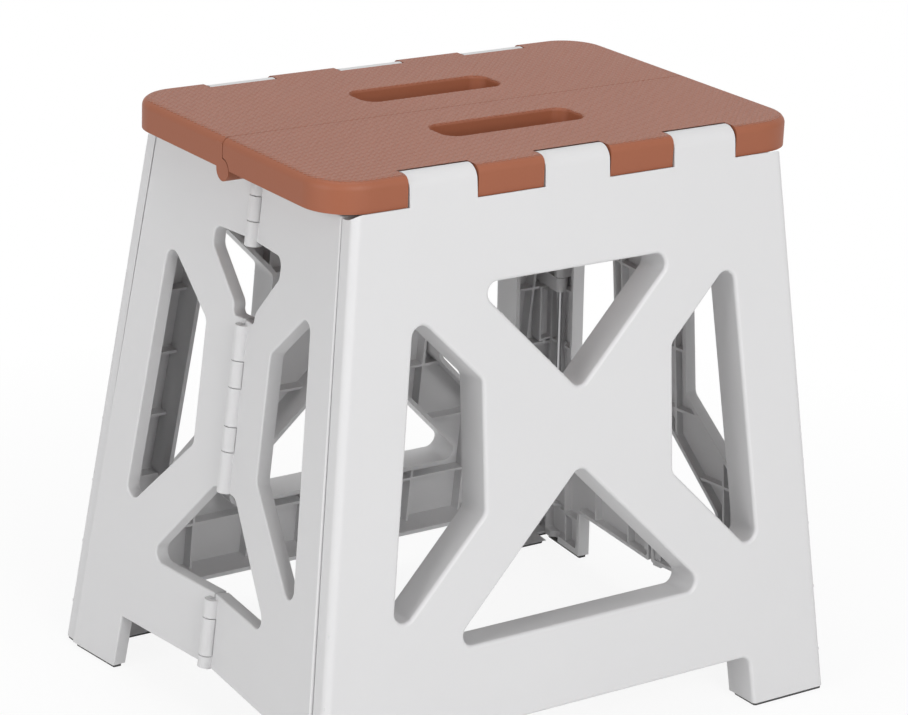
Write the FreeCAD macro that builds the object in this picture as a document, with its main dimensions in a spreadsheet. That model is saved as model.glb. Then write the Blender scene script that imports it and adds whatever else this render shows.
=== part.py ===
import FreeCAD, Part
import math
import os
import Sketcher
from FreeCAD import Matrix, Placement, Rotation, Vector

# A folding step stool in moulded plastic: a front and a back leg panel, a seat in two halves
# that folds up along its middle, and two hinged side panels at each end that fold inwards.
# Millimetres, +Z up, front towards -Y, origin on the floor under the middle of the seat.

DRIVING_SIZES = [
    # Whole stool
    ("stool_height", 330, "floor to seat top"),
    ("leg_splay", 6.1, "lean of the front and back panels, degrees"),
    ("side_splay", 6.05, "lean of the side edges of the leg panels, degrees"),
    ("leg_top_width", 275, "leg panel width at the lower edge of the seat"),
    # Seat
    ("seat_depth", 206, "front face to back face"),
    ("tab_pitch", 42, "width of one hinge tab on the seat edge"),
    ("corner_tab", 47, "width of the tab at each end of the seat edge"),
    ("skirt_height", 16.5, "seat top to the lower edge of its skirt"),
    ("seat_skin", 3, "seat plate thickness"),
    ("seat_wall", 2.5, "skirt thickness"),
    ("seat_corner_radius", 25, "corner of the seat in plan"),
    ("seat_edge_radius", 4.5, "rounding of the top edge"),
    ("slot_length", 90, "hand slot, along X"),
    ("slot_width", 24.5, "hand slot, along Y"),
    ("slot_radius", 8, "hand slot corners"),
    ("slot_edge", 1.5, "soft upper edge of the hand slot"),
    ("slot_from_seam", 26.5, "seat seam to the near edge of the hand slot"),
    ("seat_seam", 0.5, "gap between the seat halves"),
    ("seat_rib_depth", 9, "ribs below the seat plate"),
    # Seat hinges
    ("barrel_radius", 8, "hinge barrel at the top of a leg panel"),
    ("barrel_skin", 2.8, "wall of a leg barrel round its hollow"),
    ("tab_gap", 0.4, "side gap between a seat tab and a leg knuckle"),
    ("turn_gap", 0.6, "gap round a part that turns beside another"),
    ("seat_pin_diameter", 4, "seat hinge pins"),
    ("centre_pin_drop", 0.8, "centre hinge axis below the skirt edge"),
    ("lug_radius", 6, "lugs of the centre hinge"),
    ("lug_width", 7, "one lug of the centre hinge, along X"),
    ("lug_side_gap", 0.5, "gap between two lugs"),
    ("inner_split", 30, "middle of the seat to the middle of its nearest pair of lugs"),
    ("outer_split", 92, "middle of the seat to the middle of the next pair"),
    # Leg panels
    ("leg_depth", 21.5, "depth of the leg mouldings"),
    ("flange_depth", 11, "depth of their outer edges"),
    ("leg_skin", 3, "front wall of the leg mouldings"),
    ("leg_wall", 2.5, "edge walls of the leg mouldings"),
    ("leg_rib_depth", 10, "ribs inside the leg mouldings"),
    ("hollow_radius", 3, "corners of the hollow of a leg moulding"),
    ("front_apron", 30.5, "floor to the arch between the feet"),
    ("foot_width", 52, "foot of a leg panel"),
    ("cross_height", 182.5, "middle of the cross between the openings"),
    ("cross_waist", 41, "height of the cross at its middle"),
    ("bar_width", 33, "bars of the cross"),
    ("upper_edge", 268.5, "top of the upper triangle above the floor"),
    ("lower_edge", 77, "base of the lower triangle above the floor"),
    ("window_inner", 62, "middle of the panel to the upright edge of a side opening"),
    ("window_margin", 40, "side opening to the edge of the leg panel"),
    ("window_radius", 6, "corners of the openings"),
    ("arch_radius", 6, "corners of the arch between the feet"),
    ("soft_edge", 2.2, "soft outer edge of the openings and the arch"),
    ("long_edge_radius", 4.5, "rounding of the two long edges"),
    # Corner hinges, hidden behind the leg panels
    ("corner_axis_depth", 22.5, "leg face to the corner hinge axis"),
    ("corner_barrel_radius", 4, "corner hinge knuckles"),
    ("corner_pin_diameter", 3, "corner hinge pins"),
    ("corner_lug_length", 9, "one corner knuckle along its axis"),
    ("corner_lug_drop", 29.5, "seat skirt to the middle of the first corner lug of a leg panel"),
    ("corner_lug_pitch", 52, "height between two corner lugs"),
    ("closed_lug_height", 60, "extra lug of the closed corners above the floor"),
    ("seam_gap", 1, "gap between a side panel and the leg flange"),
    ("snap_slip", 4, "room below a lug where an open knuckle slides down"),
    ("bevel_start", 1.2, "face of a side panel to the bevel of its open corner"),
    ("bevel_slope", 0.7, "slope of that bevel"),
    # Side panels
    ("side_depth", 8, "depth of the side mouldings"),
    ("side_skin", 2.5, "outer wall of the side mouldings"),
    ("side_wall", 2.2, "edge walls of the side mouldings"),
    ("side_rib_depth", 7, "ribs inside the side mouldings"),
    ("side_corner_radius", 1.5, "corners of a side moulding"),
    ("side_soft_edge", 1, "soft outer edges of the side mouldings"),
    ("side_pinch", 9.3, "middle hinge axis inwards of the leg edge line"),
    ("side_top_gap", 2.5, "side panel below the seat skirt"),
    ("side_apron", 33, "floor to the arch of the side"),
    ("side_foot_width", 41, "foot of a side panel"),
    ("side_window_margin", 26, "opening of a side panel to its corner seam"),
    ("side_window_inner", 33, "middle hinge to the upright edge of that opening"),
    ("side_window_top", 220, "upper end of that upright edge above the floor"),
    ("side_window_bottom", 150, "lower end of that upright edge above the floor"),
    ("side_window_rise", 0.9, "slope of the edge above it"),
    ("side_window_fall", 1, "slope of the edge below it"),
    ("side_window_radius", 6, "corners of the side openings"),
    ("notch_top", 272, "top of the opening across the middle hinge"),
    ("notch_lobe", 11, "height of the straight sides of its lobes"),
    ("notch_reach", 33.5, "half width of its lobes"),
    ("notch_taper", 25.5, "height over which the lobes narrow to its neck"),
    ("notch_neck", 10.5, "half width of its neck"),
    ("notch_radius", 7, "rounding of its lobes"),
    ("notch_neck_height", 6.5, "height of its neck"),
    ("arch_neck", 11, "half width of the lower opening at its top"),
    ("arch_top", 133, "top of the lower opening above the floor"),
    ("arch_reach", 63, "half width of the lower opening at its base"),
    ("arch_bottom", 75, "base of the lower opening above the floor"),
    # Middle hinges of the sides
    ("mid_barrel_radius", 4.3, "middle hinge knuckles"),
    ("mid_barrel_rise", 0.8, "middle hinge axis outside the side panel"),
    ("mid_pin_diameter", 3, "middle hinge pins"),
    ("mid_edge_gap", 0.7, "gap between the two halves of a side"),
    ("mid_split_gap", 0.5, "gap between two knuckles"),
    ("knuckle_hang", 3, "reach of the upper knuckles below the top of the opening"),
    ("knuckle_inset", 2.5, "lower edge of an opening to the knuckles below it"),
    # Shared
    ("rib_thickness", 1.6, "all ribs"),
    ("rib_pitch", 38, "spacing of the ribs"),
    ("pin_clearance", 0.1, "radial clearance of every pin"),
    ("pin_end_gap", 0.3, "seat pin to the end of its bore"),
    ("pad_thickness", 2, "rubber foot pads"),
    ("pad_inset", 1.5, "foot edge to the edge of its pad"),
]

doc = FreeCAD.newDocument("folding_stool")
sheet = doc.addObject("Spreadsheet::Sheet", "Sizes")
for row, (alias, value, note) in enumerate(DRIVING_SIZES, start=1):
    sheet.set("A%d" % row, note)
    sheet.set("B%d" % row, str(value))
    sheet.setAlias("B%d" % row, alias)
doc.recompute()


def size(alias):
    return float(sheet.get(alias))


# Levels and lines that several pieces share
seat_width = 5 * size("tab_pitch") + 2 * size("corner_tab")
skirt_level = size("stool_height") - size("skirt_height")
pin_reach = size("seat_depth") / 2 - size("barrel_radius")
pin_height = size("stool_height") - size("barrel_radius")
splay = math.radians(size("leg_splay"))
edge_slope = math.tan(math.radians(size("side_splay")))
leg_clear_radius = math.hypot(size("barrel_radius"), size("skirt_height") - size("barrel_radius"))
leg_clear_radius += size("turn_gap")
centre_axis_level = size("barrel_radius") - size("skirt_height") - size("centre_pin_drop")
edge_pin_end = (seat_width - size("seat_corner_radius")) / 2
centre_pin_end = seat_width / 2 - size("seat_wall")
notch_bottom = size("notch_top") - size("notch_lobe") - size("notch_taper") - size("notch_neck_height")
KNUCKLE_MIDDLES = [step * size("tab_pitch") for step in (-2, 0, 2)]
FAR = 600
lug_bottom = pin_height + centre_axis_level - size("lug_radius")

# Heights above the floor of the corner hinge lugs of a leg panel. A closed corner has one more
# than a snap-in corner.
SNAP_LUGS = [skirt_level - size("corner_lug_drop") - step * size("corner_lug_pitch") for step in range(3)]
CLOSED_LUGS = SNAP_LUGS + [size("closed_lug_height")]


def knuckle_group(top, bottom, splits):
    """Heights of the ends of a row of knuckles, with the splits between as shares of its length."""
    return [top] + [top - share * (top - bottom) for share in splits] + [bottom]


# Knuckles of the middle hinges, between the openings of a side
MID_KNUCKLES = {
    "upper": knuckle_group(lug_bottom - size("turn_gap"), size("notch_top") - size("knuckle_hang"),
                           (0.26, 0.63)),
    "middle": knuckle_group(notch_bottom - size("knuckle_inset"), size("arch_top"),
                            (0.21, 0.37, 0.6, 0.75)),
    "lower": knuckle_group(size("arch_bottom") - size("knuckle_inset"), size("side_apron"),
                           (0.27, 0.82)),
}

LEG_FRONT = Placement(Vector(0, -pin_reach, pin_height), Rotation(Vector(1, 0, 0), -size("leg_splay")))
SEAT_FRONT = Placement(Vector(0, -pin_reach, pin_height), Rotation())
HALF_TURN = Placement(Vector(0, 0, 0), Rotation(Vector(0, 0, 1), 180))


def leg_edge(height):
    """Half width of a leg panel at a height above the floor."""
    return size("leg_top_width") / 2 + (skirt_level - height) * edge_slope


def leg_reach(height, depth):
    """Distance from the middle plane to a leg panel, at a depth behind its face."""
    behind_pin = depth - size("barrel_radius")
    return pin_reach - behind_pin / math.cos(splay) + (pin_height - height) * math.tan(splay)


def up_leg(height):
    """Place along the face of a leg panel, from its hinge axis, of a height above the floor."""
    return (height - pin_height - size("barrel_radius") * math.sin(splay)) / math.cos(splay)


def corner_point(height):
    """Point of the corner hinge axis at a height, in a leg panel's own frame, on its left side."""
    face_height = height + size("corner_axis_depth") * math.sin(splay)
    reach = leg_edge(face_height) - size("side_depth")
    return Vector(-reach, size("corner_axis_depth") - size("barrel_radius"), up_leg(face_height))


# The corner axes and the middle hinge of one side meet at an apex above the seat, so the two
# side halves fold without strain.
corner_top = LEG_FRONT.multVec(corner_point(skirt_level))
corner_low = LEG_FRONT.multVec(corner_point(0))
corner_run = corner_top - corner_low
apex = corner_low + corner_run * (corner_low.y / (corner_low.y - corner_top.y))
half_height = size("stool_height") / 2
mid_low = Vector(size("side_pinch") - leg_edge(half_height), 0, half_height)
mid_run = (apex - mid_low).normalize()


def at_height(point, direction, height):
    return point + direction * ((height - point.z) / direction.z)


def side_frame(towards_back):
    """Frame of one left side half: X out of its face, Z up along the middle hinge."""
    flat = Vector(corner_run).normalize().cross(mid_run).normalize()
    if flat.x > 0:
        flat = -flat
    spread = (size("side_depth") - size("mid_barrel_rise")) / 2
    high = apex + flat * spread
    outer = at_height(corner_low, corner_run, half_height) + flat * size("side_depth")
    middle = mid_low - flat * size("mid_barrel_rise")
    normal = (outer - high).cross(middle - high).normalize()
    if normal.x > 0:
        normal = -normal
    upward = (high - middle).normalize()
    if towards_back:
        normal = Vector(normal.x, -normal.y, normal.z)
        upward = Vector(upward.x, -upward.y, upward.z)
    across = upward.cross(normal)
    return Placement(Matrix(
        normal.x, across.x, upward.x, middle.x,
        normal.y, across.y, upward.y, middle.y,
        normal.z, across.z, upward.z, middle.z,
        0, 0, 0, 1))


def facing(start, end, outward):
    """Placement at start with Z towards end and X as near to outward as it can be."""
    along = (end - start).normalize()
    cross = along.cross(outward).normalize()
    out = cross.cross(along)
    return Placement(Matrix(
        out.x, cross.x, along.x, start.x,
        out.y, cross.y, along.y, start.y,
        out.z, cross.z, along.z, start.z,
        0, 0, 0, 1))


# Outlines are lists of corners, anticlockwise

def grown(corners, distance):
    """The outline moved outwards by a distance, or inwards if it is negative."""
    count = len(corners)
    result = []
    for index in range(count):
        before, here, after = corners[index - 1], corners[index], corners[(index + 1) % count]
        first = (here - before).normalize()
        second = (after - here).normalize()
        out_first = Vector(first.y, -first.x, 0)
        out_second = Vector(second.y, -second.x, 0)
        bisector = out_first + out_second
        result.append(here + bisector * (distance * 2 / bisector.dot(bisector)))
    return result


def rounded(corners, radius):
    """Lines and arcs of the outline, rounded as far as its edges allow: one radius, or one a corner."""
    count = len(corners)
    radii = radius if isinstance(radius, list) else [radius] * count
    starts = []
    ends = []
    arcs = []
    for index in range(count):
        before, here, after = corners[index - 1], corners[index], corners[(index + 1) % count]
        back = before - here
        ahead = after - here
        half_angle = back.getAngle(ahead) / 2
        room = 0.48 * min(back.Length, ahead.Length)
        setback = min(radii[index] / math.tan(half_angle), room)
        bend = setback * math.tan(half_angle)
        back.normalize()
        ahead.normalize()
        starts.append(here + back * setback)
        ends.append(here + ahead * setback)
        if bend < 0.05:
            arcs.append(None)
            continue
        to_middle = (back + ahead).normalize()
        nearest = here + to_middle * (bend / math.sin(half_angle) - bend)
        arcs.append(Part.Arc(starts[-1], nearest, ends[-1]))
    edges = []
    for index in range(count):
        if arcs[index]:
            edges.append(arcs[index])
        begin = ends[index] if arcs[index] else corners[index]
        following = (index + 1) % count
        finish = starts[following] if arcs[following] else corners[following]
        edges.append(Part.LineSegment(begin, finish))
    return edges


def crossings(corners, place, axis):
    """Where a line at the given place crosses the outline: axis 0 for an upright line."""
    hits = []
    count = len(corners)
    for index in range(count):
        start, end = corners[index], corners[(index + 1) % count]
        if (start[axis] - place) * (end[axis] - place) < 0:
            share = (place - start[axis]) / (end[axis] - start[axis])
            hits.append(start[1 - axis] + share * (end[1 - axis] - start[1 - axis]))
    hits.sort()
    return list(zip(hits[0::2], hits[1::2]))


def box_outline(left, bottom, right, top):
    return [Vector(left, bottom, 0), Vector(right, bottom, 0), Vector(right, top, 0), Vector(left, top, 0)]


def rib_outlines(corners, axis, pitch, half_thickness, into_wall):
    """Thin rectangles across the outline, one for each rib of a row."""
    low = min(corner[axis] for corner in corners)
    high = max(corner[axis] for corner in corners)
    count = int((high - low) / pitch)
    first = (low + high - pitch * (count - 1)) / 2
    result = []
    for step in range(count):
        place = first + step * pitch
        for start, end in crossings(corners, place, axis):
            if axis == 0:
                result.append(box_outline(place - half_thickness, start - into_wall,
                                          place + half_thickness, end + into_wall))
            else:
                result.append(box_outline(start - into_wall, place - half_thickness,
                                          end + into_wall, place + half_thickness))
    return result


# Helpers that make one piece of a moulding, in the moulding's own frame

PLANES = {
    "XY_Plane": Rotation(),
    "XZ_Plane": Rotation(Vector(1, 0, 0), 90),
    "YZ_Plane": Rotation(Vector(1, 1, 1), 120),
}


def prism(plane, offset, loops, length, inwards=True):
    """Extrude a sketch that lies on a plane moved along its normal; length is a formula."""
    sketch = doc.addObject("Sketcher::SketchObject", "outline")
    for loop in loops:
        sketch.addGeometry(loop, False)
    turn = PLANES[plane]
    normal = turn.multVec(Vector(0, 0, 1))
    sketch.Placement = Placement(normal * offset, turn)
    solid = doc.addObject("Part::Extrusion", "prism")
    solid.Base = sketch
    solid.DirMode = "Normal"
    solid.Solid = True
    solid.Reversed = inwards
    solid.setExpression("LengthFwd", str(length))
    return solid


def rod(placement, radius, height):
    """Cylinder; radius is a formula, height a number or a formula."""
    solid = doc.addObject("Part::Cylinder", "rod")
    solid.Placement = placement
    solid.setExpression("Radius", radius)
    solid.setExpression("Height", str(height))
    return solid


def block(placement, low, high):
    """Box between two corners in the frame of the placement."""
    solid = doc.addObject("Part::Box", "block")
    solid.Placement = placement * Placement(low, Rotation())
    solid.Length = high.x - low.x
    solid.Width = high.y - low.y
    solid.Height = high.z - low.z
    return solid


def joined(pieces):
    if len(pieces) == 1:
        return pieces[0]
    whole = doc.addObject("Part::MultiFuse", "joined")
    whole.Shapes = pieces
    whole.Refine = False
    return whole


def without(base, cutters, merge_faces=False):
    result = doc.addObject("Part::Cut", "cut")
    result.Base = base
    result.Tool = joined(cutters)
    result.Refine = merge_faces
    return result


def soften(solid, choose):
    """Round edges of a solid; choose gives the radius for an edge's two ends, or 0 to keep it."""
    doc.recompute()
    chosen = []
    for number, edge in enumerate(solid.Shape.Edges, start=1):
        ends = [vertex.Point for vertex in edge.Vertexes]
        radius = choose(ends)
        if radius:
            chosen.append((number, radius, radius))
    fillet = doc.addObject("Part::Fillet", "softened")
    fillet.Base = solid
    fillet.Edges = chosen
    return fillet


def all_at(ends, axis, place):
    return all(abs(end[axis] - place) < 0.01 for end in ends)


def place_part(solid, name, placement):
    solid.Label = name
    solid.Placement = placement
    return solid


def below_floor(placement, height):
    """Everything lower than a height above the floor, in the frame of a placed moulding."""
    level = placement.inverse() * Placement(Vector(0, 0, height), Rotation())
    return block(level, Vector(-FAR, -FAR, -FAR), Vector(FAR, FAR, 0))


ACROSS = Rotation(Vector(0, 1, 0), 90)
PIN_BORE = "Sizes.seat_pin_diameter / 2 + Sizes.pin_clearance"


def bore_across(y_place, z_place, half_length):
    start = Placement(Vector(-half_length, y_place, z_place), ACROSS)
    return rod(start, PIN_BORE, 2 * half_length)


# Leg panels

def leg_windows():
    """The four openings of a leg panel, between the bars of its cross."""
    middle = size("cross_height")
    half_waist = size("cross_waist") / 2
    bar_rise = size("bar_width") * math.sqrt(2)
    low_line = up_leg(middle - half_waist)
    high_line = up_leg(middle + half_waist)
    upper_line = high_line - bar_rise
    lower_line = low_line + bar_rise
    top = up_leg(size("upper_edge"))
    base = up_leg(size("lower_edge"))
    inner = size("window_inner")
    outer_at_axis = leg_edge(skirt_level) - size("window_margin") + up_leg(skirt_level) * slant()
    high_reach = (outer_at_axis - upper_line * slant()) / (1 + slant())
    low_reach = (outer_at_axis - lower_line * slant()) / (1 - slant())
    upper = [Vector(0, high_line, 0), Vector(top - high_line, top, 0), Vector(high_line - top, top, 0)]
    lower = [Vector(0, low_line, 0), Vector(base - low_line, base, 0), Vector(low_line - base, base, 0)]
    right = [
        Vector(inner, upper_line + inner, 0),
        Vector(inner, lower_line - inner, 0),
        Vector(low_reach, lower_line - low_reach, 0),
        Vector(high_reach, upper_line + high_reach, 0),
    ]
    left = [Vector(-corner.x, corner.y, 0) for corner in reversed(right)]
    return [upper, lower, right, left]


def slant():
    """Outward run of a leg panel's edge for each step down its face."""
    return edge_slope * math.cos(splay)


def leg_outline(inset_sides, top):
    """Outline of a leg panel with an arch between its feet."""
    edge_at_axis = leg_edge(skirt_level) + up_leg(skirt_level) * slant() - inset_sides
    sole = up_leg(-leg_overlap())
    arch = up_leg(size("front_apron"))
    foot = size("foot_width") - inset_sides
    return [
        Vector(edge_at_axis - top * slant(), top, 0),
        Vector(top * slant() - edge_at_axis, top, 0),
        Vector(sole * slant() - edge_at_axis, sole, 0),
        Vector(sole * slant() - edge_at_axis + foot, sole, 0),
        Vector(arch * slant() - edge_at_axis + foot, arch, 0),
        Vector(edge_at_axis - foot - arch * slant(), arch, 0),
        Vector(edge_at_axis - foot - sole * slant(), sole, 0),
        Vector(edge_at_axis - sole * slant(), sole, 0),
    ]


def leg_overlap():
    """How far a leg panel is made below the floor before it is cut level."""
    return size("leg_depth") * math.tan(splay) + size("pad_thickness")


def make_leg(name, placement):
    face = size("barrel_radius")
    radius = size("barrel_radius")
    wall = size("leg_wall")
    shoulder = skirt_level - pin_height
    flat_top = shoulder - size("seam_gap")
    hollow_top = -leg_clear_radius - wall
    knuckle = size("tab_pitch") / 2 - size("tab_gap")
    windows = leg_windows()
    window_loops = [rounded(window, size("window_radius")) for window in windows]
    # Outer moulding: shallow at the edges, where the side panels start, deep between
    edge_room = size("side_depth") + size("corner_barrel_radius") + size("turn_gap")
    arch_radii = [0, 0, 0, 0, size("arch_radius"), size("arch_radius"), 0, 0]
    front_outline = leg_outline(0, shoulder)
    front = prism("XZ_Plane", face, [rounded(front_outline, arch_radii)] + window_loops,
                  "Sizes.flange_depth")
    sole = front_outline[2].y

    def edge_rounding(ends):
        if not all_at(ends, 1, -face) or all_at(ends, 2, shoulder) or all_at(ends, 2, sole):
            return 0
        if abs(ends[0].z - ends[-1].z) > shoulder - sole - 1:
            return size("long_edge_radius")
        return size("soft_edge")

    outer = [
        soften(front, edge_rounding),
        prism("XZ_Plane", face - size("soft_edge"),
              [rounded(leg_outline(edge_room, flat_top), arch_radii)],
              "Sizes.leg_depth - Sizes.soft_edge"),
    ]
    # Knuckles: a barrel flush with the seat top, on a web that rises from the panel
    for middle in KNUCKLE_MIDDLES:
        outer.append(prism("YZ_Plane", middle - knuckle, [knuckle_profile(radius, hollow_top)],
                           "Sizes.tab_pitch - 2 * Sizes.tab_gap", False))
    # Hollow back, with a wall round every opening
    inside = grown(leg_outline(0, hollow_top + wall), -wall)
    lifted = up_leg(size("pad_thickness") + wall)
    inside = [Vector(corner.x, max(corner.y, lifted), 0) for corner in inside]
    islands = [rounded(grown(window, wall), size("window_radius") + wall) for window in windows]
    hollow = prism("XZ_Plane", face - size("leg_skin"),
                   [rounded(inside, size("hollow_radius"))] + islands,
                   "Sizes.leg_depth + Sizes.leg_skin")
    shell = without(joined(outer), [hollow])
    # Rib grid
    half_rib = size("rib_thickness") / 2
    behind_skin = face - size("leg_skin") / 2
    pieces = [shell]
    for axis in (0, 1):
        ribs = [rounded(rib, 0) for rib in
                rib_outlines(inside, axis, size("rib_pitch"), half_rib, wall / 2)]
        pieces.append(prism("XZ_Plane", behind_skin, ribs, "Sizes.leg_rib_depth - Sizes.leg_skin / 2"))
    # Corner hinge lugs, carried by the front wall
    cutters = []
    reach_back = size("corner_axis_depth") - size("leg_skin") / 2
    half = size("corner_barrel_radius")
    for side in (-1, 1):
        for height in CLOSED_LUGS if side < 0 else SNAP_LUGS:
            axis, length = corner_axis(side, height - size("corner_lug_length") / 2,
                                       height + size("corner_lug_length") / 2)
            pieces.append(block(axis, Vector(-half, -reach_back, 0), Vector(half, 0, length)))
            pieces.append(rod(axis, "Sizes.corner_barrel_radius", length))
        axis, length = corner_axis(side, 0, skirt_level)
        cutters.append(rod(axis, "Sizes.corner_pin_diameter / 2 + Sizes.pin_clearance", length))
    for loop in window_loops:
        cutters.append(prism("XZ_Plane", face + 1, [loop], "Sizes.leg_depth + 2"))
    # Room for the seat tabs to turn down behind the top edge
    tab_starts = [-seat_width / 2 - size("turn_gap")] + [m + knuckle for m in KNUCKLE_MIDDLES]
    tab_ends = [m - knuckle for m in KNUCKLE_MIDDLES] + [seat_width / 2 + size("turn_gap")]
    for start, end in zip(tab_starts, tab_ends):
        cutters.append(rod(Placement(Vector(start, 0, 0), ACROSS), str(leg_clear_radius), end - start))
    # Hollow inside each knuckle, open to the back
    inner = radius - size("barrel_skin")
    for middle in KNUCKLE_MIDDLES:
        cutters.append(prism("YZ_Plane", middle - knuckle + size("leg_skin"),
                             [knuckle_profile(inner, hollow_top - wall)],
                             "Sizes.tab_pitch - 2 * Sizes.tab_gap - 2 * Sizes.leg_skin", False))
    cutters.append(bore_across(0, 0, edge_pin_end))
    cutters.append(below_floor(placement, size("pad_thickness")))
    return place_part(without(joined(pieces), cutters, True), name, placement)


def knuckle_profile(radius, bottom):
    """Round over the hinge axis, straight down to the bottom."""
    return [
        Part.LineSegment(Vector(-radius, bottom, 0), Vector(radius, bottom, 0)),
        Part.LineSegment(Vector(radius, bottom, 0), Vector(radius, 0, 0)),
        Part.Arc(Vector(radius, 0, 0), Vector(0, radius, 0), Vector(-radius, 0, 0)),
        Part.LineSegment(Vector(-radius, 0, 0), Vector(-radius, bottom, 0)),
    ]


def corner_axis(side, low_height, high_height):
    """Placement and length of a stretch of a leg's corner hinge axis, on its left or right side."""
    low = corner_point(low_height)
    high = corner_point(high_height)
    if side > 0:
        low.x = -low.x
        high.x = -high.x
    return facing(low, high, Vector(1, 0, 0)), high.distanceToPoint(low)



# Seat halves: the origin is on the hinge axis of the leg, Y runs to the seam

def tab_profile(back):
    """Section of the seat edge beside a leg knuckle, with the rounded top edge."""
    low = size("barrel_radius") - size("skirt_height")
    top = size("barrel_radius")
    front = -size("barrel_radius")
    bend = size("seat_edge_radius")
    lean = bend * (1 - math.sqrt(0.5))
    return [
        Part.LineSegment(Vector(front, low, 0), Vector(back, low, 0)),
        Part.LineSegment(Vector(back, low, 0), Vector(back, top, 0)),
        Part.LineSegment(Vector(back, top, 0), Vector(front + bend, top, 0)),
        Part.Arc(Vector(front + bend, top, 0), Vector(front + lean, top - lean, 0),
                 Vector(front, top - bend, 0)),
        Part.LineSegment(Vector(front, top - bend, 0), Vector(front, low, 0)),
    ]


def recess_profile(radius):
    """Room for a leg knuckle: round behind and above the hinge axis, open in front and below."""
    open_end = -size("barrel_radius") - 1
    low = -size("skirt_height")
    lean = radius * math.sqrt(0.5)
    return [
        Part.LineSegment(Vector(open_end, low, 0), Vector(radius, low, 0)),
        Part.LineSegment(Vector(radius, low, 0), Vector(radius, 0, 0)),
        Part.Arc(Vector(radius, 0, 0), Vector(lean, lean, 0), Vector(0, radius, 0)),
        Part.LineSegment(Vector(0, radius, 0), Vector(0, radius + 1, 0)),
        Part.LineSegment(Vector(0, radius + 1, 0), Vector(open_end, radius + 1, 0)),
        Part.LineSegment(Vector(open_end, radius + 1, 0), Vector(open_end, low, 0)),
    ]


def seat_outline(inset):
    """Plan of a seat half with its two front corners rounded."""
    half = seat_width / 2 - inset
    front = inset - size("barrel_radius")
    back = pin_reach - size("seat_seam") / 2 - inset
    bend = size("seat_corner_radius") - inset
    lean = bend * (1 - math.sqrt(0.5))
    return [
        Part.LineSegment(Vector(bend - half, front, 0), Vector(half - bend, front, 0)),
        Part.Arc(Vector(half - bend, front, 0), Vector(half - lean, front + lean, 0),
                 Vector(half, front + bend, 0)),
        Part.LineSegment(Vector(half, front + bend, 0), Vector(half, back, 0)),
        Part.LineSegment(Vector(half, back, 0), Vector(-half, back, 0)),
        Part.LineSegment(Vector(-half, back, 0), Vector(-half, front + bend, 0)),
        Part.Arc(Vector(-half, front + bend, 0), Vector(lean - half, front + lean, 0),
                 Vector(bend - half, front, 0)),
    ]


def make_seat_half(name, placement):
    top = size("barrel_radius")
    skirt_edge = top - size("skirt_height")
    wall = size("seat_wall")
    slot_far = pin_reach - size("slot_from_seam")
    half_slot = size("slot_length") / 2
    slot = box_outline(-half_slot, slot_far - size("slot_width"), half_slot, slot_far)
    slot_loop = rounded(slot, size("slot_radius"))
    seam = pin_reach - size("seat_seam") / 2

    def edge_rounding(ends):
        if not all_at(ends, 2, top) or all_at(ends, 1, seam):
            return 0
        beside_slot = all(abs(end.x) < half_slot + 1 and slot[0].y - 1 < end.y < seam - 1 for end in ends)
        return size("slot_edge") if beside_slot else size("seat_edge_radius")

    blank = soften(prism("XY_Plane", top, [seat_outline(0), slot_loop], "Sizes.skirt_height"),
                   edge_rounding)
    # Hollow underneath, with a wall round the hand slot
    slot_wall = rounded(grown(slot, wall), size("slot_radius") + wall)
    under_skin = top - size("seat_skin")
    hollow = prism("XY_Plane", under_skin, [seat_outline(wall), slot_wall], "Sizes.skirt_height")
    pieces = [without(blank, [hollow])]
    # Rib grid under the plate
    half = seat_width / 2 - wall
    inside = box_outline(-half, wall - top, half, pin_reach - wall)
    for axis in (0, 1):
        ribs = [rounded(rib, 0) for rib in
                rib_outlines(inside, axis, size("rib_pitch"), size("rib_thickness") / 2, 0)]
        pieces.append(prism("XY_Plane", under_skin + size("seat_skin") / 2, ribs,
                            "Sizes.seat_rib_depth + Sizes.seat_skin / 2"))
    # Recesses that the leg knuckles fill, walled off from the hollow
    turn_radius = size("barrel_radius") + size("turn_gap")
    half_recess = size("tab_pitch") / 2 + size("tab_gap")
    cutters = []
    for middle in KNUCKLE_MIDDLES:
        pieces.append(prism("YZ_Plane", middle - half_recess - wall, [tab_profile(turn_radius + wall)],
                            "Sizes.tab_pitch + 2 * Sizes.tab_gap + 2 * Sizes.seat_wall", False))
        cutters.append(prism("YZ_Plane", middle - half_recess, [recess_profile(turn_radius)],
                             "Sizes.tab_pitch + 2 * Sizes.tab_gap", False))
    # Lugs of the centre hinge: this half has the one on the +X side of every split
    end_split = seat_width / 2 - size("lug_width")
    half_gap = size("lug_side_gap") / 2
    lug_room = size("lug_radius") + size("turn_gap")
    for split in (-end_split, -size("outer_split"), -size("inner_split"),
                  size("inner_split"), size("outer_split"), end_split):
        lug_start = Placement(Vector(split + half_gap, pin_reach, centre_axis_level), ACROSS)
        pieces.append(rod(lug_start, "Sizes.lug_radius", size("lug_width") - half_gap))
        pieces.append(block(Placement(), Vector(split + half_gap, pin_reach - size("lug_radius"),
                                                centre_axis_level),
                            Vector(split + size("lug_width"), seam, under_skin)))
        other = split - size("lug_width")
        edge = max(other - half_gap - wall, wall / 2 - seat_width / 2)
        pieces.append(block(Placement(), Vector(edge, pin_reach - lug_room - wall, skirt_edge),
                            Vector(split + half_gap, seam, centre_axis_level + lug_room + wall)))
        other_start = Placement(Vector(other - half_gap, pin_reach, centre_axis_level), ACROSS)
        cutters.append(rod(other_start, "Sizes.lug_radius + Sizes.turn_gap",
                           size("lug_width") + half_gap * 2))
    cutters.append(prism("XY_Plane", top + 1, [slot_loop], "Sizes.skirt_height + 2"))
    cutters.append(bore_across(0, 0, edge_pin_end))
    cutters.append(bore_across(pin_reach, centre_axis_level, centre_pin_end))
    return place_part(without(joined(pieces), cutters, True), name, placement)


# Side halves: X points out of the face, Z up along the middle hinge

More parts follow.
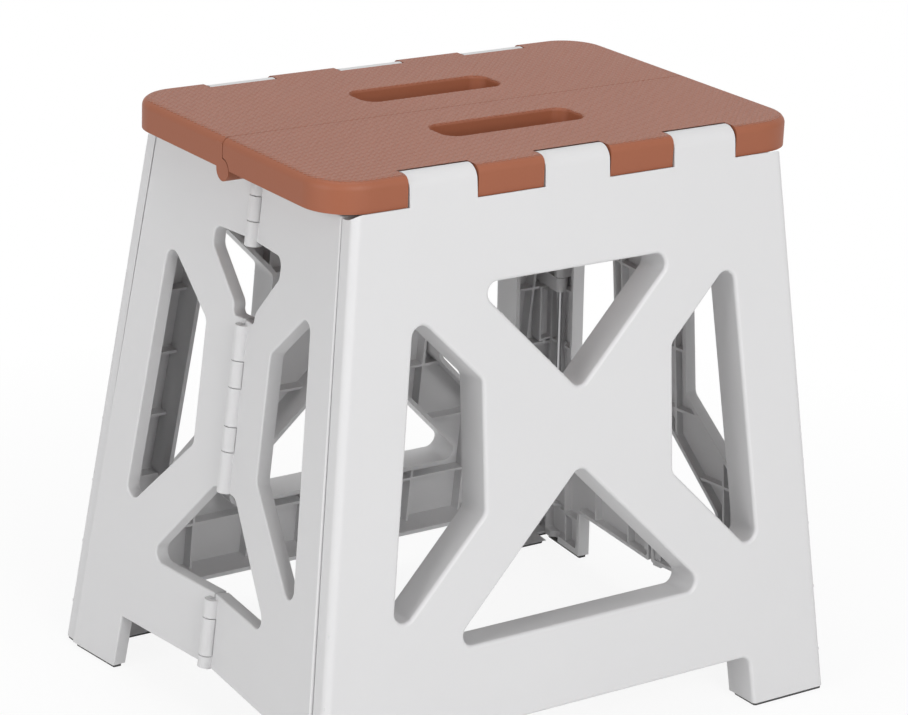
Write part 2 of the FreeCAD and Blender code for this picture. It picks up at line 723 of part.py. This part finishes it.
def make_side_half(name, towards_back):
    """One half of a side; one snaps over its corner pin and slides on it, the other is closed."""
    frame = side_frame(towards_back)
    local = frame.inverse()
    to_corner = -1 if towards_back else 1

    def panel(points):
        """Sketch corners from distances to the middle plane and heights above the floor."""
        result = []
        for reach, height in points:
            world_y = -to_corner * reach
            normal = frame.Rotation.multVec(Vector(1, 0, 0))
            base = frame.Base
            x = base.x - ((world_y - base.y) * normal.y + (height - base.z) * normal.z) / normal.x
            spot = local.multVec(Vector(x, world_y, height))
            result.append(Vector(spot.y, spot.z, 0))
        return result[::-1] if towards_back else result

    def axis_frame(low, high):
        start = local.multVec(low)
        end = local.multVec(high)
        return facing(start, end, Vector(1, 0, 0)), end.distanceToPoint(start)

    def corner_frame(low_height, high_height):
        low = at_height(corner_low, corner_run, low_height)
        high = at_height(corner_low, corner_run, high_height)
        if towards_back:
            low.y = -low.y
            high.y = -high.y
        return axis_frame(low, high)

    def mid_frame(low_height, high_height):
        return axis_frame(at_height(mid_low, mid_run, low_height),
                          at_height(mid_low, mid_run, high_height))

    def to_side(low_y, high_y):
        """Bounds along Y, measured towards the corner."""
        return sorted((to_corner * low_y, to_corner * high_y))

    depth = size("side_depth")
    wall = size("side_wall")
    top = skirt_level - size("side_top_gap")
    apron = size("side_apron")
    sole = -depth
    edge = size("mid_edge_gap") / 2
    seam_depth = size("flange_depth") + size("seam_gap")

    def seam(height):
        return leg_reach(height, seam_depth)

    foot = size("side_foot_width")

    def make_outline(end_inset):
        return panel([(edge, apron), (seam(apron) - foot, apron), (seam(sole) - foot, sole),
                      (seam(sole) - end_inset, sole), (seam(top) - end_inset, top), (edge, top)])

    outline = make_outline(0)
    # Window between the bars, its outer edge parallel to the corner seam
    lean = math.tan(splay)
    margin_line = seam(0) - size("side_window_margin")
    inner = size("side_window_inner")
    rise = size("side_window_rise")
    fall = size("side_window_fall")
    high_base = size("side_window_top") - rise * inner
    low_base = size("side_window_bottom") + fall * inner
    high_reach = (margin_line - lean * high_base) / (1 + lean * rise)
    low_reach = (margin_line - lean * low_base) / (1 - lean * fall)
    window = panel([(inner, size("side_window_bottom")), (low_reach, low_base - fall * low_reach),
                    (high_reach, high_base + rise * high_reach), (inner, size("side_window_top"))])
    past = -2 * size("mid_barrel_radius")
    waist = notch_bottom + size("notch_neck_height")
    lobe = size("notch_top") - size("notch_lobe")
    notch = panel([(past, notch_bottom), (size("notch_neck"), notch_bottom), (size("notch_neck"), waist),
                   (size("notch_reach"), lobe), (size("notch_reach"), size("notch_top")),
                   (past, size("notch_top"))])
    arch = panel([(past, size("arch_bottom")), (size("arch_reach"), size("arch_bottom")),
                  (size("arch_neck"), size("arch_top")), (past, size("arch_top"))])
    openings = [(window, size("side_window_radius")), (notch, size("notch_radius")),
                (arch, size("side_window_radius"))]

    # Moulding: outer wall, edge walls and a wall round every opening
    blank = prism("YZ_Plane", 0, [rounded(outline, size("side_corner_radius"))], "Sizes.side_depth")
    blank = without(blank, [prism("YZ_Plane", 1, [rounded(corners, radius)], "2 * Sizes.side_depth")
                            for corners, radius in openings])
    middle_line = panel([(edge, apron), (edge, top)])[0].x

    def edge_rounding(ends):
        at_middle = all(abs(end.y - middle_line) < 0.5 for end in ends)
        return size("side_soft_edge") if all_at(ends, 0, 0) and not at_middle else 0

    blank = soften(blank, edge_rounding)
    bevel_depth = size("bevel_slope") * (depth - size("bevel_start")) if towards_back else 0
    inside = grown(make_outline(bevel_depth), -wall)
    lifted = local.multVec(Vector(frame.Base.x, 0, size("pad_thickness") + wall)).z
    inside = [Vector(corner.x, max(corner.y, lifted), 0) for corner in inside]
    hollow = prism("YZ_Plane", -size("side_skin"), [rounded(inside, size("side_corner_radius"))],
                   "Sizes.side_depth")
    walls = [prism("YZ_Plane", 0, [rounded(grown(corners, wall), radius + wall)], "2 * Sizes.side_depth")
             for corners, radius in openings]
    shell = without(blank, [without(hollow, walls)])
    corner_start, corner_length = corner_frame(0, skirt_level)
    relief = rod(corner_start, "Sizes.corner_barrel_radius + Sizes.turn_gap", corner_length)
    ribs = []
    for axis in (0, 1):
        loops = [rounded(rib, 0) for rib in
                 rib_outlines(inside, axis, size("rib_pitch"), size("rib_thickness") / 2, wall / 2)]
        ribs.append(prism("YZ_Plane", -size("side_skin") / 2, loops,
                          "Sizes.side_rib_depth - Sizes.side_skin / 2"))
    cut_first = [relief]
    cut_first += [prism("YZ_Plane", 1, [rounded(corners, radius)], "2 * Sizes.side_depth")
                  for corners, radius in openings]
    # Room for the lugs of the leg panel
    room = size("corner_barrel_radius") + size("turn_gap")
    half_lug = size("corner_lug_length") / 2
    lugs = SNAP_LUGS if towards_back else CLOSED_LUGS
    slip = size("snap_slip") if towards_back else 0
    low_y, high_y = to_side(0, size("corner_axis_depth"))
    for height in lugs:
        start, length = corner_frame(height - half_lug - size("turn_gap") - slip,
                                     height + half_lug + size("turn_gap"))
        cut_first.append(block(start, Vector(-room, low_y, 0), Vector(room, high_y, length)))
    # Bevel behind the face of the open corner, where it swings past the leg flange
    if towards_back:
        high_end, low_end = panel([(seam(sole), sole), (seam(top), top)])
        start = facing(Vector(0, low_end.x, low_end.y), Vector(0, high_end.x, high_end.y),
                       Vector(1, 0, 0))
        tilt = -math.degrees(math.atan(size("bevel_slope")))
        start = start * Placement(Vector(-size("bevel_start"), 0, 0), Rotation(Vector(0, 0, 1), tilt))
        cut_first.append(block(start, Vector(-2 * depth, -2 * depth, -depth), Vector(0, 0, FAR)))
    # Room for the end lugs of the seat
    lug_start = local * Placement(Vector(-seat_width / 2, 0, pin_height + centre_axis_level), ACROSS)
    cut_first.append(rod(lug_start, "Sizes.lug_radius + Sizes.turn_gap",
                         2 * size("lug_width") + size("turn_gap")))
    # Middle hinge knuckles, every other one on this half
    reach = size("mid_barrel_radius")
    clear = size("mid_barrel_radius") + size("turn_gap")
    backing_low, backing_high = to_side(edge, clear + wall)
    web_low, web_high = to_side(0, edge + wall)
    backing = []
    barrels = []
    half_split = size("mid_split_gap") / 2
    for group in MID_KNUCKLES.values():
        for index in range(len(group) - 1):
            high, low = group[index], group[index + 1]
            if (index % 2 == 0) == towards_back:
                start, length = mid_frame(low, high)
                backing.append(block(start, Vector(-depth, backing_low, -wall),
                                     Vector(-size("mid_barrel_rise") - 1, backing_high, length + wall)))
                cut_first.append(rod(start, "Sizes.mid_barrel_radius + Sizes.turn_gap", length))
            else:
                start, length = mid_frame(low + half_split, high - half_split)
                barrels.append(rod(start, "Sizes.mid_barrel_radius", length))
                barrels.append(block(start, Vector(-reach, web_low, 0),
                                     Vector(-size("mid_barrel_rise") - 1, web_high, length)))
    panel_solid = without(joined([shell] + ribs + backing), cut_first)
    # Corner knuckles, each just above a lug of the leg panel
    knuckles = []
    half = size("corner_barrel_radius")
    for height in lugs:
        bottom = height + half_lug + size("tab_gap")
        start, length = corner_frame(bottom, bottom + size("corner_lug_length"))
        knuckle = joined([
            rod(start, "Sizes.corner_barrel_radius", length),
            block(start, Vector(0, -half, 0), Vector(depth - size("side_skin") / 2, half, length)),
        ])
        if towards_back:
            seat_radius = size("corner_pin_diameter") / 2 + size("pin_clearance")
            mouth_low, mouth_high = to_side(-seat_radius, depth)
            mouth = block(start, Vector(-depth, mouth_low, -1), Vector(seat_radius, mouth_high, length + 1))
            knuckle = without(knuckle, [mouth])
        knuckles.append(knuckle)
    mid_start, mid_length = mid_frame(0, skirt_level)
    last_cuts = [
        rod(corner_start, "Sizes.corner_pin_diameter / 2 + Sizes.pin_clearance", corner_length),
        rod(mid_start, "Sizes.mid_pin_diameter / 2 + Sizes.pin_clearance", mid_length),
        below_floor(frame, size("pad_thickness")),
    ]
    whole = without(joined([panel_solid] + barrels + knuckles), last_cuts, True)
    return place_part(whole, name, frame)


# Pins

def make_pin(name, start, end, radius):
    """Steel pin between two points; radius is a formula."""
    pin = rod(facing(start, end, Vector(0, -1, 0)), radius, end.distanceToPoint(start))
    pin.Label = name
    return pin


def make_corner_pin(name, side):
    """Pin through the lugs of one corner of the front leg panel."""
    lugs = CLOSED_LUGS if side < 0 else SNAP_LUGS
    low = min(lugs) - size("corner_lug_length")
    high = max(lugs) + 1.5 * size("corner_lug_length") + 2 * size("tab_gap")
    start, length = corner_axis(side, low, high)
    pin = rod(LEG_FRONT * start, "Sizes.corner_pin_diameter / 2", length)
    pin.Label = name
    return pin


def make_mid_pin(name, group):
    """Pin through one group of knuckles of the left middle hinge."""
    low = at_height(mid_low, mid_run, group[-1] + size("mid_split_gap"))
    high = at_height(mid_low, mid_run, group[0] - size("mid_split_gap"))
    return make_pin(name, low, high, "Sizes.mid_pin_diameter / 2")


# Rubber pads under the feet

def make_leg_pad(name, side):
    """Pad under the left or right foot of the front leg panel."""
    inset = size("pad_inset")
    outer = leg_edge(0) - inset
    inner = leg_edge(0) - size("foot_width") + inset
    step = leg_edge(0) - size("side_depth") - size("corner_barrel_radius") - size("turn_gap") - inset
    face = leg_reach(0, 0) - inset
    shallow = leg_reach(0, size("flange_depth")) + inset
    deep = leg_reach(0, size("leg_depth")) + inset
    corners = [Vector(inner, -face, 0), Vector(outer, -face, 0), Vector(outer, -shallow, 0),
               Vector(step, -shallow, 0), Vector(step, -deep, 0), Vector(inner, -deep, 0)]
    if side < 0:
        corners = [Vector(-corner.x, corner.y, 0) for corner in reversed(corners)]
    pad = prism("XY_Plane", size("pad_thickness"), [rounded(corners, inset)], "Sizes.pad_thickness")
    pad.Label = name
    return pad


def make_side_pad(name, towards_back):
    """Pad under the foot of one half of the left side."""
    frame = side_frame(towards_back)
    inset = size("pad_inset")
    seam = leg_reach(0, size("flange_depth") + size("seam_gap")) - inset
    heel = seam - size("side_foot_width") + 2 * inset
    deep = size("side_depth") - inset
    beveled = size("bevel_slope") * (deep - size("bevel_start")) if towards_back else 0
    normal = frame.Rotation.multVec(Vector(1, 0, 0))
    corners = []
    for reach, depth in ((heel, inset), (seam, inset), (seam - beveled, deep), (heel, deep)):
        world_y = reach if towards_back else -reach
        base = frame.Base - normal * depth
        level = size("pad_thickness")
        x = base.x - ((world_y - base.y) * normal.y + (level - base.z) * normal.z) / normal.x
        corners.append(Vector(x, world_y, 0))
    if not towards_back:
        corners.reverse()
    pad = prism("XY_Plane", size("pad_thickness"), [rounded(corners, inset / 2)], "Sizes.pad_thickness")
    pad.Label = name
    return pad


def turned(solid, name):
    """The same piece turned half round, for the opposite place on the stool."""
    twin = doc.addObject("Part::Compound", "turned")
    twin.Links = [solid]
    return place_part(twin, name, HALF_TURN)


# The back leg panel, the back seat half and the right side are the same mouldings, turned round
twins = [
    (make_leg("leg_front", LEG_FRONT), "leg_back"),
    (make_seat_half("seat_front", SEAT_FRONT), "seat_back"),
    (make_side_half("side_left_front", False), "side_right_back"),
    (make_side_half("side_left_back", True), "side_right_front"),
]
pin_end = edge_pin_end - size("pin_end_gap")
twins.append((make_pin("seat_front_pin", Vector(-pin_end, -pin_reach, pin_height),
                       Vector(pin_end, -pin_reach, pin_height), "Sizes.seat_pin_diameter / 2"),
              "seat_back_pin"))
twins += [
    (make_corner_pin("corner_pin_left_front", -1), "corner_pin_right_back"),
    (make_corner_pin("corner_pin_right_front", 1), "corner_pin_left_back"),
]
for group_name, group in MID_KNUCKLES.items():
    twins.append((make_mid_pin("side_pin_left_" + group_name, group), "side_pin_right_" + group_name))
twins += [
    (make_leg_pad("foot_pad_front_left", -1), "foot_pad_back_right"),
    (make_leg_pad("foot_pad_front_right", 1), "foot_pad_back_left"),
    (make_side_pad("side_pad_left_front", False), "side_pad_right_back"),
    (make_side_pad("side_pad_left_back", True), "side_pad_right_front"),
]
centre_height = pin_height + centre_axis_level
centre_end = centre_pin_end - size("pin_end_gap")
parts = [make_pin("seat_centre_pin", Vector(-centre_end, 0, centre_height),
                  Vector(centre_end, 0, centre_height), "Sizes.seat_pin_diameter / 2")]
for piece, twin_name in twins:
    parts += [piece, turned(piece, twin_name)]

doc.recompute()
for item in doc.Objects:
    if "Invalid" in item.State or "Error" in item.State:
        raise RuntimeError("%s did not build: %s" % (item.Name, item.State))

os.makedirs("parts", exist_ok=True)
for part in parts:
    shape = part.Shape
    if shape.isNull() or not shape.isValid() or len(shape.Solids) != 1:
        raise RuntimeError("%s is not one valid solid: %d" % (part.Label, len(shape.Solids)))
    shape.exportStep("parts/%s.step" % part.Label)
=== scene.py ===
import math

import bpy
from mathutils import Matrix, Vector


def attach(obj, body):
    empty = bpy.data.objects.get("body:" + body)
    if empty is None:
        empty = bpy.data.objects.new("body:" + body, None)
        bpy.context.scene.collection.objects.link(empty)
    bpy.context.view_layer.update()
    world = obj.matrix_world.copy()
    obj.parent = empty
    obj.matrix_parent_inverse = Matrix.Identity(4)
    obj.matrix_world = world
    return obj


# Folding step stool: finishes for its moulded panels, pins and pads, two latch pockets, and the studio.

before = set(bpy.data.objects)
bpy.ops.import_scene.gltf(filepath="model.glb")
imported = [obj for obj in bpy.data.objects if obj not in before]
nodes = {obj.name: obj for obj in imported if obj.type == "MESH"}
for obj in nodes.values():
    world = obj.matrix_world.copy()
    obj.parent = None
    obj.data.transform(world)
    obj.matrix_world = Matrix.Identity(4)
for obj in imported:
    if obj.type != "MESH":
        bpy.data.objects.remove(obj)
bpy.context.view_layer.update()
print("frame loaded:", len(nodes), "nodes")


# shader maths


class Val:
    # one socket, so that sums on it add Math nodes
    def __init__(self, mat, socket):
        self.mat = mat
        self.socket = socket

    def maths(self, operation, *values):
        settings = {"operation": operation}
        return self.mat.add("ShaderNodeMath", settings, {i: v for i, v in enumerate(values)})

    def __add__(self, other):
        return self.maths("ADD", self, other)

    def __radd__(self, other):
        return self.maths("ADD", other, self)

    def __sub__(self, other):
        return self.maths("SUBTRACT", self, other)

    def __rsub__(self, other):
        return self.maths("SUBTRACT", other, self)

    def __mul__(self, other):
        return self.maths("MULTIPLY", self, other)

    def __rmul__(self, other):
        return self.maths("MULTIPLY", other, self)

    def __truediv__(self, other):
        return self.maths("DIVIDE", self, other)

    def __abs__(self):
        return self.maths("ABSOLUTE", self)

    def __mod__(self, other):
        return self.maths("FLOORED_MODULO", self, other)

    def sine(self):
        return self.maths("SINE", self)

    def floor(self):
        return self.maths("FLOOR", self)

    def power(self, exponent):
        return self.maths("POWER", self, exponent)

    def clamped(self):
        return self.mat.add("ShaderNodeClamp", {}, {"Value": self}, "Result")


class Graph:
    # one node tree, of a material or of the world
    def __init__(self, tree):
        self.tree = tree

    def add(self, kind, settings, inputs, output=0):
        node = self.tree.nodes.new(kind)
        for key, value in settings.items():
            setattr(node, key, value)
        for key, value in inputs.items():
            if isinstance(value, Val):
                self.tree.links.new(value.socket, node.inputs[key])
            else:
                node.inputs[key].default_value = value
        return Val(self, node.outputs[output])

    def seen(self):
        # 1 where the camera looks, straight or by way of gloss and glass
        rays = self.add("ShaderNodeLightPath", {}, {}).socket.node
        straight, glossy, through = [Val(self, rays.outputs["Is %s Ray" % name])
                                     for name in ("Camera", "Glossy", "Transmission")]
        return (straight + glossy + through).clamped()


class Finish(Graph):
    # a procedural material on Object coordinates
    def __init__(self, name):
        self.material = bpy.data.materials.new(name)
        self.material.use_nodes = True
        super().__init__(self.material.node_tree)
        self.shader = self.tree.nodes["Principled BSDF"]
        self.place = self.add("ShaderNodeTexCoord", {}, {}, "Object")

    def axes(self):
        parts = self.add("ShaderNodeSeparateXYZ", {}, {0: self.place}, "X").socket.node
        return [Val(self, parts.outputs[i]) for i in range(3)]

    def noise(self, scale, detail=2.0):
        sockets = {"Vector": self.place, "Scale": scale, "Detail": detail}
        return self.add("ShaderNodeTexNoise", {}, sockets, "Fac")

    def blend(self, amount, first, second):
        colours = {6: (*first, 1), 7: (*second, 1)}
        return self.add("ShaderNodeMix", {"data_type": "RGBA"}, {0: amount, **colours}, 2)

    def bump(self, height, depth):
        sockets = {"Strength": 1.0, "Distance": depth, "Height": height}
        return self.add("ShaderNodeBump", {}, sockets, "Normal")

    def wear(self, **sockets):
        for key, value in sockets.items():
            name = {"baseColor": "Base Color", "roughness": "Roughness", "metallic": "Metallic",
                    "normal": "Normal"}[key]
            if isinstance(value, Val):
                self.tree.links.new(value.socket, self.shader.inputs[name])
            else:
                self.shader.inputs[name].default_value = value
        return self.material


# finishes

seatLook = {
    "colour": (0.318, 0.096, 0.043),
    "shade": (0.290, 0.087, 0.039),
    "cloudScale": 14.0,
    "topHeight": 0.3293,
    "topBlend": 0.0004,
    "weavePitch": 0.0036,
    "weaveDepth": 0.0006,
    "strandRoundness": 0.35,
    "grainScale": 900.0,
    "grainShare": 0.12,  # of the depth of the weave
    "topRoughness": 0.42,
    "skirtRoughness": 0.52,
    "roughnessSpread": 0.05,
}


def seatFinish():
    look = seatLook
    finish = Finish("seatPlastic")
    x, y, z = finish.axes()
    onTop = ((z - look["topHeight"]) / look["topBlend"]).clamped()
    # strands that cross on the diagonal, over and under in turn
    u = (x + y) / look["weavePitch"]
    v = (x - y) / look["weavePitch"]
    turn = (u.floor() + v.floor()) % 2.0
    alongU = abs((u * math.pi).sine()).power(look["strandRoundness"]) * abs((v * math.pi).sine())
    alongV = abs((u * math.pi).sine()) * abs((v * math.pi).sine()).power(look["strandRoundness"])
    weave = turn * alongU + (1 - turn) * alongV
    grain = finish.noise(look["grainScale"])
    height = weave * onTop + grain * look["grainShare"]
    colour = finish.blend(finish.noise(look["cloudScale"]), look["colour"], look["shade"])
    rough = look["skirtRoughness"] + onTop * (look["topRoughness"] - look["skirtRoughness"])
    rough = rough + grain * look["roughnessSpread"]
    return finish.wear(baseColor=colour, roughness=rough, normal=finish.bump(height, look["weaveDepth"]))


panelLook = {
    "colour": (0.705, 0.702, 0.708),
    "shade": (0.680, 0.677, 0.683),
    "cloudScale": 9.0,
    "roughness": 0.40,
    "roughnessSpread": 0.06,
    "grainScale": 700.0,
    "grainDepth": 0.00004,
}


def panelFinish():
    look = panelLook
    finish = Finish("panelPlastic")
    grain = finish.noise(look["grainScale"])
    colour = finish.blend(finish.noise(look["cloudScale"]), look["colour"], look["shade"])
    rough = look["roughness"] + grain * look["roughnessSpread"]
    return finish.wear(baseColor=colour, roughness=rough, normal=finish.bump(grain, look["grainDepth"]))


pinLook = {
    "colour": (0.56, 0.56, 0.57),
    "roughness": 0.28,
    "roughnessSpread": 0.12,
    "grainScale": 1600.0,
    "grainDetail": 1.0,
    "grainDepth": 0.00002,
}


def pinFinish():
    look = pinLook
    finish = Finish("pinSteel")
    grain = finish.noise(look["grainScale"], look["grainDetail"])
    rough = look["roughness"] + grain * look["roughnessSpread"]
    return finish.wear(baseColor=(*look["colour"], 1), metallic=1.0, roughness=rough,
                       normal=finish.bump(grain, look["grainDepth"]))


padLook = {
    "colour": (0.035, 0.035, 0.037),
    "dust": (0.075, 0.073, 0.070),
    "dustScale": 60.0,
    "roughness": 0.75,
    "roughnessSpread": 0.1,
    "grainScale": 500.0,
    "grainDepth": 0.0001,
}


def padFinish():
    look = padLook
    finish = Finish("padRubber")
    grain = finish.noise(look["grainScale"])
    colour = finish.blend(finish.noise(look["dustScale"]), look["colour"], look["dust"])
    rough = look["roughness"] + grain * look["roughnessSpread"]
    return finish.wear(baseColor=colour, roughness=rough, normal=finish.bump(grain, look["grainDepth"]))


def dress(panel):
    seat = seatFinish()
    steel = pinFinish()
    rubber = padFinish()
    for name, node in nodes.items():
        if "pad" in name:
            finish = rubber
        elif "pin" in name:
            finish = steel
        elif name.startswith("seat"):
            finish = seat
        else:
            finish = panel
        if not node.material_slots:
            node.data.materials.append(None)
        for place in node.material_slots:
            place.link = "OBJECT"
            place.material = finish
    print("finishes: seat, panels, pins, pads")


panelPlastic = panelFinish()
dress(panelPlastic)


# latch pockets behind the corners of the leg panels

latchPocket = {
    "place": (0.1440, 0.1132, 0.1575),
    "lean": (6.1, -6.05),
    "width": 0.0100,
    "depth": 0.0084,
    "height": 0.0370,
    "rim": 0.0014,
    "recess": 0.0046,
    "tongueGap": 0.0016,
    "tongueRise": 0.0026,
    "edge": 0.00035,
    "edgeSteps": 2,
    "knobRadius": 0.0021,
    "knobHeight": 0.0034,
    "knobSides": 24,
    "knobStretch": 1.4,  # towards the panel
    "smoothAngle": 35,
}


def pickMiddle(piece, direction):
    # selects the face that looks that way and lies in the middle, the smallest one there
    bpy.ops.object.mode_set(mode="EDIT")
    bpy.ops.mesh.select_mode(type="FACE")
    bpy.ops.mesh.select_all(action="DESELECT")
    bpy.ops.object.mode_set(mode="OBJECT")
    looking = [face for face in piece.data.polygons if face.normal.dot(direction) > 0.99]
    min(looking, key=lambda face: (face.center.xz.length, face.area)).select = True
    bpy.ops.object.mode_set(mode="EDIT")


def makeFrame():
    # an open box with a rim, and a tongue that stands up from its floor
    look = latchPocket
    bpy.ops.object.select_all(action="DESELECT")
    bpy.ops.mesh.primitive_cube_add(size=1, location=(0, 0, 0))
    box = bpy.context.object
    box.scale = (look["width"], look["depth"], look["height"])
    bpy.ops.object.transform_apply(location=False, rotation=False, scale=True)
    for inset, push in ((look["rim"], look["recess"]), (look["tongueGap"], -look["tongueRise"])):
        pickMiddle(box, Vector((0, -1, 0)))
        bpy.ops.mesh.inset(thickness=inset)
        bpy.ops.mesh.extrude_region_move(TRANSFORM_OT_translate={"value": (0, push, 0)})
        bpy.ops.object.mode_set(mode="OBJECT")
    return box


def makeKnob(end):
    # an oval knob on one end of the box
    look = latchPocket
    middle = end * (look["height"] + look["knobHeight"]) / 2
    bpy.ops.mesh.primitive_cylinder_add(vertices=look["knobSides"], radius=look["knobRadius"],
                                        depth=look["knobHeight"], location=(0, 0, middle))
    knob = bpy.context.object
    bpy.ops.object.mode_set(mode="EDIT")
    bpy.ops.mesh.select_all(action="SELECT")
    bpy.ops.transform.resize(value=(1, look["knobStretch"], 1))
    bpy.ops.object.mode_set(mode="OBJECT")
    return knob


def makePocket(name, body):
    look = latchPocket
    pocket = makeFrame()
    for part in (pocket, makeKnob(-1), makeKnob(1)):
        part.select_set(True)
    bpy.context.view_layer.objects.active = pocket
    bpy.ops.object.join()
    pocket.name = name
    pocket.location = look["place"]
    pocket.rotation_euler = (math.radians(look["lean"][0]), math.radians(look["lean"][1]), 0)
    bevel = pocket.modifiers.new("soft", "BEVEL")
    bevel.width = look["edge"]
    bevel.segments = look["edgeSteps"]
    bevel.limit_method = "ANGLE"
    bpy.ops.object.modifier_apply(modifier=bevel.name)
    bpy.ops.object.transform_apply(location=True, rotation=True, scale=True)
    bpy.ops.object.shade_smooth_by_angle(angle=math.radians(look["smoothAngle"]))
    pocket.data.materials.append(panelPlastic)
    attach(pocket, body)
    return pocket


def turnPocket(pocket, name, body):
    # the same moulding on the other leg panel, half a turn about the vertical
    bpy.ops.object.select_all(action="DESELECT")
    pocket.select_set(True)
    bpy.context.view_layer.objects.active = pocket
    bpy.ops.object.duplicate(linked=False)
    twin = bpy.context.object
    twin.name = name
    twin.rotation_euler = (0, 0, math.pi)
    bpy.ops.object.transform_apply(location=True, rotation=True, scale=True)
    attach(twin, body)


backPocket = makePocket("latch_pocket_back", "leg_back")
turnPocket(backPocket, "latch_pocket_front", "leg_front")
print("latch pockets: 2 behind the corners of the leg panels")


# studio

studio = {
    "floorSize": 8.0,
    "floorHeight": -0.0002,
    "floorColour": (0.93, 0.93, 0.93),
    "floorRoughness": 0.9,
    "clearFrom": 0.22,
    "clearTo": 0.60,
    "floorGlow": 0.90,
    "ambient": 0.20,
    "keyPower": 37.5,
    "keySize": 1.3,
    "keyPlace": (-0.2, -2.35, 1.3),
    "fillPower": 21.0,
    "fillSize": 1.2,
    "fillPlace": (-2.4, -0.3, 0.9),
    "topPower": 15.0,
    "topSize": 1.4,
    "topPlace": (0.1, 0.3, 2.2),
    "aim": (0, 0, 0.16),
}


def makeFloor():
    bpy.ops.object.select_all(action="DESELECT")
    bpy.ops.mesh.primitive_plane_add(size=studio["floorSize"], location=(0, 0, studio["floorHeight"]))
    floor = bpy.context.object
    floor.name = "floor"
    finish = Finish("floorPaper")
    x, y, z = finish.axes()
    distance = (x * x + y * y).power(0.5)
    far = ((distance - studio["clearFrom"]) / (studio["clearTo"] - studio["clearFrom"])).clamped()
    glow = studio["floorGlow"] + far * (1 - studio["floorGlow"])
    white = finish.add("ShaderNodeEmission", {}, {"Color": (1, 1, 1, 1), "Strength": 1.0}, "Emission")
    finish.wear(baseColor=(*studio["floorColour"], 1), roughness=studio["floorRoughness"])
    paper = Val(finish, finish.shader.outputs[0])
    mix = finish.add("ShaderNodeMixShader", {}, {0: finish.seen() * glow, 1: paper, 2: white})
    output = finish.tree.nodes["Material Output"]
    finish.tree.links.new(mix.socket, output.inputs["Surface"])
    floor.data.materials.append(finish.material)


def makeWorld():
    world = bpy.data.worlds.new("studioAir")
    bpy.context.scene.world = world
    world.use_nodes = True
    world.node_tree.nodes.clear()
    air = Graph(world.node_tree)
    ambient = air.add("ShaderNodeBackground", {}, {"Color": (1, 1, 1, 1), "Strength": studio["ambient"]})
    white = air.add("ShaderNodeBackground", {}, {"Color": (1, 1, 1, 1), "Strength": 1.0})
    mix = air.add("ShaderNodeMixShader", {}, {0: air.seen(), 1: ambient, 2: white})
    output = world.node_tree.nodes.new("ShaderNodeOutputWorld")
    world.node_tree.links.new(mix.socket, output.inputs["Surface"])


def addLamp(name, place, power, width):
    bpy.ops.object.light_add(type="AREA", location=place)
    lamp = bpy.context.object
    lamp.name = name
    lamp.data.shape = "SQUARE"
    lamp.data.size = width
    lamp.data.energy = power
    lamp.rotation_euler = (Vector(studio["aim"]) - Vector(place)).to_track_quat("-Z", "Y").to_euler()


makeFloor()
makeWorld()
for part in ("key", "fill", "top"):
    addLamp(part + "Lamp", studio[part + "Place"], studio[part + "Power"], studio[part + "Size"])
print("studio: floor, air and lamps")

view = {
    "azimuth": -35.55,
    "elevation": 19.49,
    "distance": 1.8065,
    "target": (0.0112, 0.0, 0.1705),
    "roll": 2.51,
    "lens": 128.2,
    "film": 36.0,
    "reach": 50.0,
    "shiftRight": -0.018,
    "shiftUp": 0.024,
}


def placeCamera():
    azimuth = math.radians(view["azimuth"])
    elevation = math.radians(view["elevation"])
    back = Vector((math.sin(azimuth) * math.cos(elevation),
                   -math.cos(azimuth) * math.cos(elevation),
                   math.sin(elevation)))
    bpy.ops.object.camera_add(location=Vector(view["target"]) + back * view["distance"])
    camera = bpy.context.object
    camera.name = "photoCamera"
    turn = back.to_track_quat("Z", "Y").to_matrix() @ Matrix.Rotation(math.radians(view["roll"]), 3, "Z")
    camera.rotation_euler = turn.to_euler()
    camera.data.lens = view["lens"]
    camera.data.sensor_width = view["film"]
    camera.data.shift_x = view["shiftRight"]
    camera.data.shift_y = view["shiftUp"]
    camera.data.clip_end = view["reach"]
    bpy.context.scene.camera = camera


placeCamera()
bpy.context.scene.view_settings.view_transform = "Standard"
